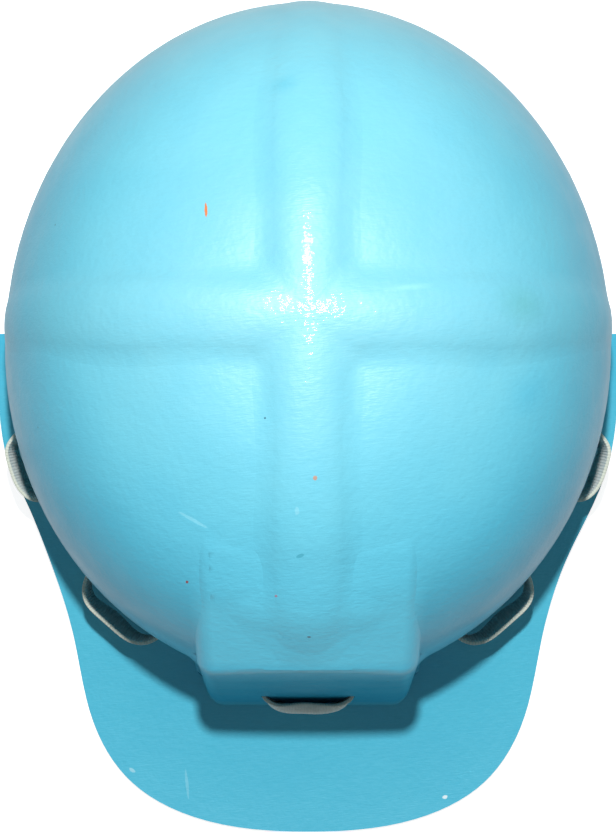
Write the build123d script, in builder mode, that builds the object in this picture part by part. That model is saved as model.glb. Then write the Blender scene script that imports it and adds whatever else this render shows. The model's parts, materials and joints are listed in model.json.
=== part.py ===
import os
from math import atan2, cos, degrees, pi, radians, sin, sqrt

from build123d import *

# Miner's helmet, lying as it is worn: +Z up, front towards -Y, floor at Z = 0, sizes in millimetres.

# Shell, a moulded laminate
wall = 3.0
shell_half_width = 104.7
front_reach = 115.7
rear_reach = 119.5
dome_centre_y = 26.2
crown_height = 138.0
skirt_height = 10.0
meridian_power_share = 2.7
meridian_angle_shares = (0.10, 0.24, 0.40, 0.58, 0.78)

# Crossing ridges of the crown
ridge_plane_setback = 7.1
ridge_half_width = 12.5
ridge_half_depth = 4.5
ridge_rise = 3.5
ridge_foot_rise = 0.4
ridge_fillet_radius = 14.0
ridge_fillet_height = 14.0

# Lamp boss
boss_width = 72.0
boss_edge_inset = 12.0
boss_edge_drop = 43.0
boss_foot_reach = 13.5
boss_foot_height = 3.0
boss_shelf_slope = 43.5
boss_shelf_length = 30.0
boss_shelf_radius = 58.0
boss_shelf_turn = 30.0
boss_depth = 54.0
boss_crown_drop = 5.0
boss_side_splay = 1.0
boss_shoulder_radius = 8.0
boss_front_edge_radius = 7.0

# Peak and side rims
side_brim_reach = 8.0
peak_length = 59.4
brim_top_height = 10.5
peak_tip_height = 3.0
peak_middle_height = 5.0
peak_middle_reach = 22.1
peak_span = 61.9
peak_outline_shares = (
    (1.0, 0.106),
    (0.955, 0.291),
    (0.834, 0.453),
    (0.757, 0.614),
    (0.701, 0.774),
    (0.581, 0.896),
    (0.347, 0.975),
)
rear_rim_reach = 3.2
rear_rim_height = 3.0

# Lacing tape and its slots
tape_width = 20.0
tape_thickness = 1.2
tape_foot = 12.0
slot_clearance = 0.5
tape_inset = 6.8
loop_reach = 10.0
loop_angles = (0.0, 38.7, 69.5, 125.0, 180.0)
loop_half_angles = (7.9, 9.0, 6.6, 8.0, 8.0)
loop_stand_shares = (0.76, 0.0, 0.0, 0.0, 0.0)
loop_bulge_shares = (0.48, 0.8, 0.6, 0.13, 0.13)
loop_shape_shares = ((0.74, 0.7), (0.4, 0.95))
tape_entry_angle = 2.8
tape_station_count = 110

# Cradle of eight webbing straps and the crown lace
cradle_width = 17.0
cradle_thickness = 1.2
cradle_angles = (18.8, 55.3, 99.0, 152.0)
cradle_clearance = 0.35
cradle_centre_y = 24.0
lace_ring_radius = 32.0
lace_drop = 34.0
lace_diameter = 3.0
lace_corner_radius = 2.5
pad_radius = 44.0
pad_thickness = 4.0
pad_edge_chamfer = 1.0

# Headband, sweatband and hangers
head_side_space = 22.7
head_front_space = 10.5
head_rear_space = 20.7
sweatband_thickness = 2.0
headband_thickness = 1.8
headband_foot = 10.0
headband_height = 30.0
band_gap_angle = 25.0
soft_gap = 0.3
hanger_width = 16.0
hanger_thickness = 1.4
hanger_foot = 26.0
hanger_bend_height = 46.0
hanger_join_height = 58.0
hanger_top_height = 70.0
hanger_bend_radius = 4.0
hanger_arms = (1, 2)

# Nape strap, buckle and keeper
nape_width = 15.0
nape_thickness = 1.6
nape_centre_height = 22.0
nape_flat_half = 9.0
strap_angle_shares = (0.0, 0.33, 0.66, 1.0)
nape_hole_length = 6.6
nape_hole_width = 3.0
nape_hole_pitch = 10.0
nape_hole_count = 4
nape_end_angle = 46.0
nape_leave_angle = 23.5
chape_width = 12.0
chape_thickness = 1.4
chape_end_angle = 38.0
chape_entry_angle = 12.0
frame_length = 13.0
frame_inner_width = 17.0
frame_wire = 2.4
frame_corner_radius = 2.5
hinge_bar_lift = 1.4
prong_wire = 2.0
prong_eye_width = 2.6
prong_overhang = 2.1
prong_root_run = 3.0
hinge_clearance = 0.2
keeper_angle = 19.0
keeper_width = 7.0
keeper_wall = 1.2
keeper_clearance = 0.7
sweatband_gap_angle = 42.0

overrun = 20.0
wall_tolerance = 0.001
half_turn = 180.0
quarter_turn = 90.0

# Places that follow from the sizes
front_y = dome_centre_y - front_reach
rear_y = dome_centre_y + rear_reach
ridge_plane_y = dome_centre_y + ridge_plane_setback
boss_edge_y = front_y + boss_edge_inset
boss_edge_height = crown_height - boss_edge_drop
boss_foot_y = front_y - boss_foot_reach
brim_half_width = shell_half_width + side_brim_reach
peak_tip_y = front_y - peak_length
lace_height = crown_height - lace_drop
head_half_width = shell_half_width - wall - head_side_space
head_front_y = front_y + wall + head_front_space
head_rear_y = rear_y - wall - head_rear_space
head_half_length = (head_rear_y - head_front_y) / 2
head_centre_y = (head_rear_y + head_front_y) / 2


def meridian(half_width, crown, foot):
    """Points of the dome's meridian, from the skirt to the crown, on a superellipse"""
    power = 2 / meridian_power_share
    rise = crown - foot
    points = [(half_width, foot)]
    for share in meridian_angle_shares:
        angle = share * pi / 2
        points.append((half_width * cos(angle) ** power, foot + rise * sin(angle) ** power))
    points.append((0, crown))
    return points


def stretch(half, half_width, front, rear):
    """Stretches a half turned about Z to the reach of each half of the dome and joins the two"""
    rear_half = scale(half, by=(1, rear / half_width, 1), about=(0, 0, 0))
    front_half = scale(mirror(half, about=Plane.XZ), by=(1, front / half_width, 1), about=(0, 0, 0))
    with BuildPart() as whole:
        add(rear_half.moved(Location((0, dome_centre_y, 0))))
        add(front_half.moved(Location((0, dome_centre_y, 0))))
    return whole.part


def dome(inset, base):
    """The solid dome, its surface moved inwards by inset, down to the height base"""
    half_width = shell_half_width - inset
    crown = crown_height - inset
    with BuildPart() as half:
        with BuildSketch(Plane.XZ):
            with BuildLine():
                Spline(meridian(half_width, crown, skirt_height), tangents=[(0, 1), (-1, 0)])
                Polyline((0, crown), (0, base), (half_width, base), (half_width, skirt_height))
            make_face()
        revolve(axis=Axis.Z, revolution_arc=half_turn)
    return stretch(half.part, half_width, front_reach - inset, rear_reach - inset)


def flare(lift, base):
    """The peak and side rims as a body of revolution: their top surface moved up by lift, down to base"""
    side_share = shell_half_width / front_reach
    inner = shell_half_width - wall / 2
    middle = shell_half_width + peak_middle_reach * side_share
    outer = shell_half_width + peak_span * side_share
    with BuildPart() as half:
        with BuildSketch(Plane.XZ):
            with BuildLine():
                top = ThreePointArc(
                    (inner, brim_top_height + lift),
                    (middle, peak_middle_height + lift),
                    (outer, peak_tip_height + lift),
                )
                Polyline(top @ 1, (outer, base), (0, base), (0, brim_top_height + lift), top @ 0)
            make_face()
        revolve(axis=Axis.Z, revolution_arc=half_turn)
    return stretch(half.part, shell_half_width, front_reach, rear_reach)


def ridge(plane, reach_one, reach_two, centre_y):
    """A soft ridge that follows the dome over the crown in one plane and fades at its feet"""
    crown = crown_height + ridge_rise - ridge_half_depth
    foot_sink = ridge_half_depth - ridge_foot_rise
    first = meridian(reach_one - foot_sink, crown, skirt_height)
    second = meridian(reach_two - foot_sink, crown, skirt_height)
    back = [(-x, z) for x, z in reversed(second[:-1])]
    with BuildPart() as body:
        with BuildLine(plane):
            Spline(first + back, tangents=[(0, 1), (0, -1)])
        with BuildSketch(Plane(origin=plane.from_local_coords(first[0]), x_dir=plane.x_dir, z_dir=(0, 0, 1))):
            Ellipse(ridge_half_depth, ridge_half_width)
        sweep()
    return body.part.moved(Location((0, centre_y, 0)))


def boss_section(inset, depth):
    """The boss across its shelf: crowned top, soft shoulders and sides that part slightly"""
    half = boss_width / 2 - inset
    foot_half = half + boss_side_splay * depth / boss_depth
    shoulder = -inset - boss_crown_drop
    with BuildSketch() as section:
        with BuildLine():
            ThreePointArc((-half, shoulder), (0, -inset), (half, shoulder))
            Polyline((half, shoulder), (foot_half, -depth), (-foot_half, -depth), (-half, shoulder))
        make_face()
        fillet(section.vertices().sort_by(Axis.Y)[-2:], boss_shoulder_radius - inset)
    return section.sketch


def boss(inset, edge_radius):
    """The lamp boss: a crowned shelf that leaves the front of the dome and ends at a flat, leaning wall"""
    slope = radians(boss_shelf_slope)
    back_slope = radians(boss_shelf_slope - boss_shelf_turn)
    edge = Vector(0, boss_edge_y, boss_edge_height)
    along = Vector(0, -cos(slope), -sin(slope))
    up = Vector(0, -sin(slope), cos(slope))
    back_along = Vector(0, -cos(back_slope), -sin(back_slope))
    back_up = Vector(0, -sin(back_slope), cos(back_slope))
    shelf_start = edge - along * boss_shelf_length
    turn_start = shelf_start - up * boss_shelf_radius + back_up * boss_shelf_radius
    lean = atan2(boss_edge_y - boss_foot_y, boss_edge_height - boss_foot_height)
    face_out = Vector(0, -cos(lean), sin(lean))
    turn_section = boss_section(inset, boss_depth)
    shelf_section = boss_section(inset, 2 * boss_depth)
    with BuildPart() as body:
        with BuildLine():
            TangentArc(turn_start, shelf_start, tangent=back_along)
        with BuildSketch(Plane(origin=turn_start, x_dir=(1, 0, 0), z_dir=back_along)):
            add(turn_section)
        sweep()
        with BuildSketch(Plane(origin=shelf_start, x_dir=(1, 0, 0), z_dir=along)):
            add(shelf_section)
        extrude(amount=boss_shelf_length + boss_edge_height)
        split(bisect_by=Plane(origin=edge - face_out * inset, x_dir=(1, 0, 0), z_dir=face_out), keep=Keep.BOTTOM)
        if edge_radius:
            walls = [face for face in body.faces() if (face.normal_at() - face_out).length < wall_tolerance]
            fillet(walls[0].edges().sort_by(Axis.Z)[1:], edge_radius)
    return body.part


def around(angle, outset, centre_y, half_width, front, rear):
    """A point outset from an oval whose halves have their own reach, angle in degrees from the front"""
    turn = radians(angle)
    reach = front if cos(turn) > 0 else rear
    normal = Vector(sin(turn) / half_width, -cos(turn) / reach).normalized()
    return Vector(half_width * sin(turn), centre_y - reach * cos(turn)) + normal * outset


def wall_point(angle, outset):
    """A point outset from the outside of the shell's wall just above the rim"""
    return around(angle, outset, dome_centre_y, shell_half_width, front_reach, rear_reach)


def head_point(angle, outset):
    """A point outset from the head's oval"""
    return around(angle, outset, head_centre_y, head_half_width, head_half_length, head_half_length)


def tape_route():
    """The lacing tape's middle line, out and in through the wall all round, as places and directions"""
    right = []
    loops = zip(loop_angles, loop_half_angles, loop_stand_shares, loop_bulge_shares)
    for angle, span, stand_share, bulge_share in loops:
        stand = loop_reach * stand_share
        bulge = loop_reach * bulge_share
        for side in (-1, 1):
            right.append((angle + side * (span + tape_entry_angle), stand - tape_inset))
            right.append((angle + side * span, stand - wall / 2))
            for span_share, rise_share in loop_shape_shares:
                right.append((angle + side * span * span_share, stand + bulge * rise_share))
        right.append((angle, stand + bulge))
    for angle in cradle_angles:
        right.append((angle, -tape_inset))
    right = sorted(row for row in right if 0 <= row[0] <= half_turn)
    left = [(-angle, outset) for angle, outset in reversed(right) if 0 < angle < half_turn]
    line = Spline([wall_point(angle, outset) for angle, outset in right + left], periodic=True)
    shares = [number / tape_station_count for number in range(tape_station_count)]
    return [(line @ share, line % share) for share in shares]


def column(line, foot, width):
    """The solid inside a smooth closed line through points, from the height foot up"""
    with BuildPart() as body:
        with BuildSketch(Plane.XY.offset(foot)):
            with BuildLine():
                Spline(line, periodic=True)
            make_face()
        extrude(amount=width)
    return body.part


def ribbon(stations, thickness, foot, width):
    """A strip of webbing on edge along a closed route"""
    side = Vector(0, 0, thickness / 2)
    outer = column([place + way.cross(side) for place, way in stations], foot, width)
    inner = column([place - way.cross(side) for place, way in stations], foot, width)
    with BuildPart() as strip:
        add(outer)
        add(inner, mode=Mode.SUBTRACT)
    return strip.part


# The shell
length = ridge_plane_y - peak_tip_y
right_edge = [(brim_half_width * x, ridge_plane_y - length * y) for x, y in peak_outline_shares]
left_edge = [(-x, y) for x, y in reversed(right_edge)]
brim_top = flare(0, -overrun)
brim_underside = flare(-wall, -overrun)
outer_dome = dome(0, 0)
cavity = dome(wall, -overrun)
boss_outside = boss(0, boss_front_edge_radius)
boss_inside = boss(wall, 0)
side_ridge = ridge(Plane.XZ, shell_half_width, shell_half_width, ridge_plane_y)
long_ridge = ridge(Plane.YZ, rear_reach, front_reach, dome_centre_y)
lacing_route = tape_route()
slot_form = ribbon(
    lacing_route,
    tape_thickness + 2 * slot_clearance,
    tape_foot - slot_clearance,
    tape_width + 2 * slot_clearance,
)

with BuildPart() as ridged:
    add(outer_dome)
    add(side_ridge)
    add(long_ridge)
    ridge_feet = [edge for edge in ridged.edges() if edge.bounding_box().max.Z > ridge_fillet_height]
    fillet(ridge_feet, ridge_fillet_radius)

with BuildPart() as brim:
    with BuildSketch():
        with BuildLine():
            edge = Spline(right_edge + [(0, peak_tip_y)] + left_edge, tangents=[(0, -1), (0, 1)])
            Polyline(edge @ 1, (-brim_half_width, ridge_plane_y), (brim_half_width, ridge_plane_y), edge @ 0)
        make_face()
    extrude(amount=brim_top_height)
    add(brim_top, mode=Mode.INTERSECT)
    add(brim_underside, mode=Mode.SUBTRACT)

with BuildPart() as below_brim:
    add(brim_underside)
    split(bisect_by=Plane.XZ.offset(-ridge_plane_y), keep=Keep.TOP)

cut_ahead = (Align.CENTER, Align.MAX)
with BuildPart() as rear_rim:
    with BuildSketch():
        with Locations((0, dome_centre_y)):
            Ellipse(shell_half_width + rear_rim_reach, rear_reach + rear_rim_reach)
            Ellipse(shell_half_width - wall / 2, rear_reach - wall / 2, mode=Mode.SUBTRACT)
        with Locations((0, ridge_plane_y)):
            Rectangle(2 * (brim_half_width + overrun), 2 * front_reach, align=cut_ahead, mode=Mode.SUBTRACT)
    extrude(amount=rear_rim_height)

with BuildPart() as shell:
    add(ridged.part)
    add(boss_outside)
    add(brim.part)
    add(rear_rim.part)
    add(cavity, mode=Mode.SUBTRACT)
    add(boss_inside, mode=Mode.SUBTRACT)
    add(below_brim.part, mode=Mode.SUBTRACT)
    split(bisect_by=Plane.XY, keep=Keep.TOP)
    add(slot_form, mode=Mode.SUBTRACT)

# The lacing tape
lacing_tape = ribbon(lacing_route, tape_thickness, tape_foot, tape_width)

# The cradle: each strap is looped round the lacing tape and ends in a loop for the crown lace
loop_inner = cradle_clearance + tape_thickness / 2
loop_outer = loop_inner + cradle_thickness
lace_loop_inner = lace_diameter / 2 + cradle_clearance
lace_loop_outer = lace_loop_inner + cradle_thickness
cradle_foot = tape_foot + tape_width + (loop_inner + loop_outer) / 2 - tape_thickness / 2
cradle_directions = []
cradle_reaches = []
for angle in cradle_angles:
    hold = wall_point(angle, -tape_inset) - Vector(0, cradle_centre_y)
    cradle_directions.append(degrees(atan2(hold.X, -hold.Y)))
    cradle_reaches.append(hold.length)


def tape_sleeve(clearance):
    """The lacing tape grown by a clearance on every side"""
    return ribbon(
        lacing_route,
        tape_thickness + 2 * clearance,
        tape_foot - clearance,
        tape_width + 2 * clearance,
    )


sleeve_outside = tape_sleeve(cradle_clearance + cradle_thickness)
sleeve_inside = tape_sleeve(cradle_clearance)


def cradle_strap(reach):
    """One webbing strap above its loop round the tape, in the XZ plane with its foot towards +X"""
    with BuildPart() as strap:
        with BuildSketch(Plane.XZ):
            with BuildLine():
                top = lace_height + lace_loop_inner + cradle_thickness / 2
                EllipticalCenterArc(
                    (lace_ring_radius, cradle_foot),
                    reach - lace_ring_radius,
                    top - cradle_foot,
                    arc_size=quarter_turn,
                )
            trace(line_width=cradle_thickness)
            with Locations((lace_ring_radius, lace_height)):
                Circle(lace_loop_outer)
                Circle(lace_loop_inner, mode=Mode.SUBTRACT)
        extrude(amount=cradle_width / 2, both=True)
    return strap.part


def tape_loop(reach, place):
    """The strap's lower end, looped round the lacing tape"""
    depth = cradle_width + 2 * loop_outer
    with BuildPart() as end:
        with BuildSketch(Plane.XY):
            with Locations((reach, 0)):
                Rectangle(depth, cradle_width)
        extrude(amount=cradle_foot + cradle_thickness)
    block = end.part.moved(place)
    with BuildPart() as loop:
        add(block)
        add(sleeve_outside, mode=Mode.INTERSECT)
        add(sleeve_inside, mode=Mode.SUBTRACT)
    return loop.part


cradle_straps = []
for side in (-1, 1):
    for direction, reach in zip(cradle_directions, cradle_reaches):
        place = Location((0, cradle_centre_y, 0), (0, 0, side * direction - quarter_turn))
        upper = cradle_strap(reach).moved(place)
        lower = tape_loop(reach, place)
        with BuildPart() as strap:
            add(upper)
            add(lower)
        cradle_straps.append(strap.part)

# The crown lace, through the straps' upper loops
turns = sorted([-angle for angle in cradle_directions] + cradle_directions)
corners = []
for first, second in zip(turns, turns[1:] + [turns[0] + 2 * half_turn]):
    middle = radians((first + second) / 2)
    radius = lace_ring_radius / cos(radians((second - first) / 2))
    corners.append((radius * sin(middle), cradle_centre_y - radius * cos(middle)))

with BuildPart() as crown_lace:
    with BuildLine(Plane.XY.offset(lace_height)) as lace_path:
        FilletPolyline(*corners, radius=lace_corner_radius, close=True)
    start = lace_path.edges().sort_by(Axis.X)[-1]
    with BuildSketch(Plane(origin=start @ 0.5, z_dir=start % 0.5)):
        Circle(lace_diameter / 2)
    sweep()

# The pad between the crown loops and the head
with BuildPart() as crown_pad:
    with BuildSketch(Plane.XY.offset(lace_height - lace_loop_outer - soft_gap)):
        with Locations((0, cradle_centre_y)):
            Circle(pad_radius)
    extrude(amount=-pad_thickness)
    chamfer(crown_pad.edges(), pad_edge_chamfer)


def band(inset, outset, foot, height, gap):
    """A band round the head's oval between two offsets from it, open at the rear over the gap angle"""
    centre = (0, head_centre_y)
    with BuildPart() as ring:
        with BuildSketch(Plane.XY.offset(foot)):
            with Locations(centre):
                Ellipse(head_half_width + outset, head_half_length + outset)
                Ellipse(head_half_width + inset, head_half_length + inset, mode=Mode.SUBTRACT)
            with BuildLine():
                ends = [head_point(half_turn + side * gap, outset + overrun) for side in (-1, 1)]
                corners = [(end.X, head_centre_y + 2 * head_half_length) for end in ends]
                Polyline(centre, (ends[0].X, ends[0].Y), *corners, (ends[1].X, ends[1].Y), centre)
            make_face(mode=Mode.SUBTRACT)
        extrude(amount=height)
    return ring.part


band_inset = sweatband_thickness + soft_gap
band_outset = band_inset + headband_thickness
band_rear_y = head_centre_y + head_half_length + band_outset
sweatband = band(0, sweatband_thickness, headband_foot, headband_height, sweatband_gap_angle)
headband_ring = band(band_inset, band_outset, headband_foot, headband_height, band_gap_angle)


def strip(route, thickness, foot, width):
    """A flat strap on edge along an open route"""
    with BuildPart() as body:
        with BuildSketch(Plane.XY.offset(foot)):
            with BuildLine():
                Spline(route)
            trace(line_width=thickness)
        extrude(amount=width)
    return body.part


def rear_point(angle, outset):
    """A point off the headband's outside, its angle counted from the middle of the rear towards +X"""
    return head_point(half_turn - angle, band_outset + outset)


# The rear adjuster: chape, frame and prong on the right, nape strap from the left
hinge_x = frame_length / 2
eye_radius = frame_wire / 2 + hinge_clearance
chape_radius = eye_radius + chape_thickness
nape_inside = hinge_bar_lift + chape_radius + soft_gap
nape_middle = nape_inside + nape_thickness / 2
free_bar_lift = nape_inside + nape_thickness + soft_gap + frame_wire / 2
prong_tip_lift = free_bar_lift + frame_wire / 2 + hinge_clearance + prong_wire / 2
hinge = Vector(hinge_x, band_rear_y + hinge_bar_lift, nape_centre_height)
free_bar = Vector(-hinge_x, band_rear_y + free_bar_lift, nape_centre_height)
nape_hole_x = hinge_x - prong_wire / 2

chape_offset = soft_gap + chape_thickness / 2
chape_route = [Vector(hinge.X + eye_radius + chape_thickness / 2, hinge.Y)]
chape_angles = [chape_entry_angle] + [
    keeper_angle + share * (chape_end_angle - keeper_angle) for share in strap_angle_shares
]
for angle in chape_angles:
    chape_route.append(rear_point(angle, chape_offset))
chape_tail = strip(chape_route, chape_thickness, nape_centre_height - chape_width / 2, chape_width)
with BuildPart() as buckle_chape:
    add(chape_tail)
    with BuildSketch(Plane.XY.offset(nape_centre_height - chape_width / 2)):
        with Locations((hinge.X, hinge.Y)):
            Circle(chape_radius)
    extrude(amount=chape_width)
    with BuildSketch(Plane.XY.offset(nape_centre_height - chape_width / 2)):
        with Locations((hinge.X, hinge.Y)):
            Circle(eye_radius)
    extrude(amount=chape_width, mode=Mode.SUBTRACT)
    with BuildSketch(Plane.XY.offset(nape_centre_height - prong_eye_width / 2 - soft_gap)):
        with Locations((hinge.X, hinge.Y)):
            Rectangle(2 * chape_radius + chape_thickness, 2 * chape_radius + chape_thickness)
    extrude(amount=prong_eye_width + 2 * soft_gap, mode=Mode.SUBTRACT)

along_frame = (free_bar - hinge).normalized()
frame_plane = Plane(origin=(hinge + free_bar) / 2, x_dir=along_frame, z_dir=along_frame.cross(Vector(0, 0, 1)))
half_run = (free_bar - hinge).length / 2
half_rise = (frame_inner_width + frame_wire) / 2
with BuildPart() as buckle_frame:
    with BuildLine(frame_plane) as frame_path:
        FilletPolyline(
            (-half_run, -half_rise),
            (half_run, -half_rise),
            (half_run, half_rise),
            (-half_run, half_rise),
            radius=frame_corner_radius,
            close=True,
        )
    bar = frame_path.edges().sort_by(Axis.X)[-1]
    with BuildSketch(Plane(origin=bar @ 0.5, z_dir=bar % 0.5)):
        Circle(frame_wire / 2)
    sweep()

prong_plane = Plane(origin=(hinge.X, hinge.Y, nape_centre_height), x_dir=(-1, 0, 0), z_dir=(0, 0, -1))
with BuildPart() as buckle_prong:
    with BuildLine(prong_plane) as prong_path:
        FilletPolyline(
            (eye_radius / 2, eye_radius + prong_wire / 4),
            (prong_root_run, nape_inside + nape_thickness + prong_wire / 2 - hinge_bar_lift),
            (frame_length, prong_tip_lift - hinge_bar_lift),
            (frame_length + prong_overhang, prong_tip_lift - hinge_bar_lift),
            radius=prong_wire / 2,
        )
    with BuildSketch(Plane(origin=prong_path.wires()[0] @ 0, z_dir=prong_path.wires()[0] % 0)):
        Circle(prong_wire / 2)
    sweep()
    with BuildSketch(Plane.XY.offset(nape_centre_height - prong_eye_width / 2)):
        with Locations((hinge.X, hinge.Y)):
            Circle(eye_radius + prong_wire / 2)
    extrude(amount=prong_eye_width)
    with BuildSketch(Plane.XY.offset(nape_centre_height - prong_eye_width / 2)):
        with Locations((hinge.X, hinge.Y)):
            Circle(eye_radius)
    extrude(amount=prong_eye_width, mode=Mode.SUBTRACT)

over_chape = 2 * soft_gap + chape_thickness + nape_thickness / 2
on_band = soft_gap + nape_thickness / 2
nape_route = []
for share in reversed(strap_angle_shares):
    angle = nape_leave_angle + share * (nape_end_angle - nape_leave_angle)
    nape_route.append(rear_point(-angle, on_band))
nape_route += [Vector(side * nape_flat_half, band_rear_y + nape_middle) for side in (-1, 0, 1)]
for share in strap_angle_shares:
    nape_route.append(rear_point(keeper_angle + share * (nape_end_angle - keeper_angle), over_chape))
nape_band = strip(nape_route, nape_thickness, nape_centre_height - nape_width / 2, nape_width)
with BuildPart() as nape_strap:
    add(nape_band)
    with BuildSketch(Plane.XZ.offset(-band_rear_y - overrun)):
        for number in range(nape_hole_count):
            with Locations((nape_hole_x + (number - 1) * nape_hole_pitch, nape_centre_height)):
                SlotOverall(nape_hole_length, nape_hole_width)
    extrude(amount=2 * overrun, mode=Mode.SUBTRACT)

# The keeper, round the chape and the nape strap
keeper_middle = rear_point(keeper_angle, (over_chape + nape_thickness / 2 + soft_gap) / 2)
keeper_out = (rear_point(keeper_angle, overrun) - keeper_middle).normalized()
keeper_depth = over_chape + nape_thickness / 2 - soft_gap + 2 * keeper_clearance
keeper_height = nape_width + 2 * keeper_clearance
keeper_plane = Plane(
    origin=(keeper_middle.X, keeper_middle.Y, nape_centre_height),
    x_dir=keeper_out,
    z_dir=keeper_out.cross(Vector(0, 0, 1)),
)
with BuildPart() as strap_keeper:
    with BuildSketch(keeper_plane):
        RectangleRounded(keeper_depth + 2 * keeper_wall, keeper_height + 2 * keeper_wall, keeper_wall)
        Rectangle(keeper_depth, keeper_height, mode=Mode.SUBTRACT)
    extrude(amount=keeper_width / 2, both=True)


def oval_reach(direction, half_width, half_length):
    """Distance from the cradle's middle to the head's oval, grown to the half sizes, in one direction"""
    turn = radians(direction)
    across, ahead = sin(turn) / half_width, -cos(turn) / half_length
    shift = (cradle_centre_y - head_centre_y) / half_length
    square = across**2 + ahead**2
    linear = ahead * shift
    return (-linear + sqrt(linear**2 - square * (shift**2 - 1))) / square


def hanger(direction, reach):
    """A short tab from the headband's outside to the cradle strap above it, in the strap's own plane"""
    half_width = head_half_width + band_outset
    half_length = head_half_length + band_outset
    foot_reach = oval_reach(direction, half_width, half_length)
    turn = radians(direction)
    x = foot_reach * sin(turn)
    y = cradle_centre_y - foot_reach * cos(turn) - head_centre_y
    facing = atan2(x / half_width**2, -y / half_length**2)
    stand = soft_gap + hanger_width / 2 * abs(sin(facing - turn)) + hanger_thickness / 2
    inset = cradle_thickness / 2 + soft_gap + hanger_thickness / 2
    span = reach - lace_ring_radius - inset
    rise = lace_height + lace_loop_inner + cradle_thickness / 2 - cradle_foot - inset
    upper = []
    for height in (hanger_join_height, hanger_top_height):
        share = (height - cradle_foot) / rise
        upper.append((lace_ring_radius + span * sqrt(1 - share**2), height))
    with BuildPart() as tab:
        with BuildSketch(Plane.XZ):
            with BuildLine():
                FilletPolyline(
                    (foot_reach + stand, hanger_foot),
                    (foot_reach + stand, hanger_bend_height),
                    *upper,
                    radius=hanger_bend_radius,
                )
            trace(line_width=hanger_thickness)
        extrude(amount=hanger_width / 2, both=True)
    return tab.part


hangers = []
for side in (-1, 1):
    for number in hanger_arms:
        tab = hanger(cradle_directions[number], cradle_reaches[number])
        turn = side * cradle_directions[number] - quarter_turn
        hangers.append(tab.moved(Location((0, cradle_centre_y, 0), (0, 0, turn))))


os.makedirs("parts", exist_ok=True)
pieces = {
    "shell": shell.part,
    "lacing_tape": lacing_tape,
    "crown_lace": crown_lace.part,
    "crown_pad": crown_pad.part,
    "headband": headband_ring,
    "sweatband": sweatband,
    "headband_hangers": Compound(children=hangers),
    "buckle_chape": buckle_chape.part,
    "buckle_frame": buckle_frame.part,
    "buckle_prong": buckle_prong.part,
    "nape_strap": nape_strap.part,
    "strap_keeper": strap_keeper.part,
}
for number, strap in enumerate(cradle_straps, 1):
    pieces[f"cradle_strap_{number}"] = strap
for name, piece in pieces.items():
    piece.label = name
    export_step(piece, f"parts/{name}.step")
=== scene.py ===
# %% [markdown]
# # A painted laminate miner's helmet
# The helmet's exact shape comes from the CAD frame. Blender gives it its looks:
# brushed-on enamel, woven tape, felt and leather. Each step below says what the
# real piece is and why it is made this way.

# %% Load the frame
import json
import math

import bmesh
import bpy
import numpy as np
from mathutils import Matrix, Vector


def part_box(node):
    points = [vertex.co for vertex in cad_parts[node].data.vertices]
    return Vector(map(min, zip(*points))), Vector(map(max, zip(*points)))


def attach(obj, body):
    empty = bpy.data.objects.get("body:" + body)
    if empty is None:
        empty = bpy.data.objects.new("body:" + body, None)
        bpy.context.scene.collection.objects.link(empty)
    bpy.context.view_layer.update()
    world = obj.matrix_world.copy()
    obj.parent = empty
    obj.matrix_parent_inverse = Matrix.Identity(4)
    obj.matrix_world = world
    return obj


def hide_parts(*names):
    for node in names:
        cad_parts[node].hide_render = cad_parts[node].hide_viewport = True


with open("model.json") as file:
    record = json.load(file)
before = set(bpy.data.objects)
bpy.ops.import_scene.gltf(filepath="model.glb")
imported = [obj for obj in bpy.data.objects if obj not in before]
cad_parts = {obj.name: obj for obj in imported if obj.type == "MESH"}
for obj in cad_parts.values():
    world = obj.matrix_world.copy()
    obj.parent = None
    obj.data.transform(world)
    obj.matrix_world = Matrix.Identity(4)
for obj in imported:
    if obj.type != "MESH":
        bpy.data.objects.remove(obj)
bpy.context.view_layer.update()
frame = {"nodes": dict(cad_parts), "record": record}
nodes = frame["nodes"]
scene = bpy.context.scene

# %% [markdown]
# ## Camera
# The photograph looks straight down on the crown from about two thirds of a
# metre, with the peak at the bottom of the picture. An unturned Blender camera
# already looks down with +Y upwards, so it only needs its place and its lens.

# %% Camera
camera_place = Vector((0, 0.0034, 0.676))
lens_data = bpy.data.cameras.new("overhead_camera")
lens_data.lens = 79.5
lens_data.sensor_width = 36
lens_data.clip_start = 0.01
camera = bpy.data.objects.new("overhead_camera", lens_data)
camera.location = camera_place
scene.collection.objects.link(camera)
scene.camera = camera

picture_width = 616
picture_height = 832
pixels_per_slope = lens_data.lens / lens_data.sensor_width * picture_height


def on_shell(across, down):
    """The point of the shell that shows at a pixel of the picture."""
    ray = Vector((across - picture_width / 2, picture_height / 2 - down, -pixels_per_slope))
    return nodes["shell"].ray_cast(camera_place, ray.normalized())[1]


print("crown under the highlight", on_shell(306, 330))

# %% [markdown]
# ## First helpers
# A finish in Blender is a tree of shader nodes, and a piece is an object that
# holds a mesh. These few helpers make both. A node is added to the tree in
# hand, the one that was taken up last, so no line has to name its tree again.


# %% First helpers
def take(next_tree):
    """Makes a node tree the one in hand."""
    global tree
    tree = next_tree


def finish(name):
    """A new material, with its tree in hand, and its main shader."""
    material = bpy.data.materials.new(name)
    material.use_nodes = True
    take(material.node_tree)
    return material, tree.nodes["Principled BSDF"]


def feed(socket, value):
    """Links an output to a socket, or sets the socket to a plain value."""
    if isinstance(value, bpy.types.NodeSocket):
        tree.links.new(value, socket)
    elif value is not None:
        socket.default_value = value


def dress(node, looks):
    """Feeds sockets of a node by their names or numbers."""
    for name, value in looks.items():
        feed(node.inputs[name], value)


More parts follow.
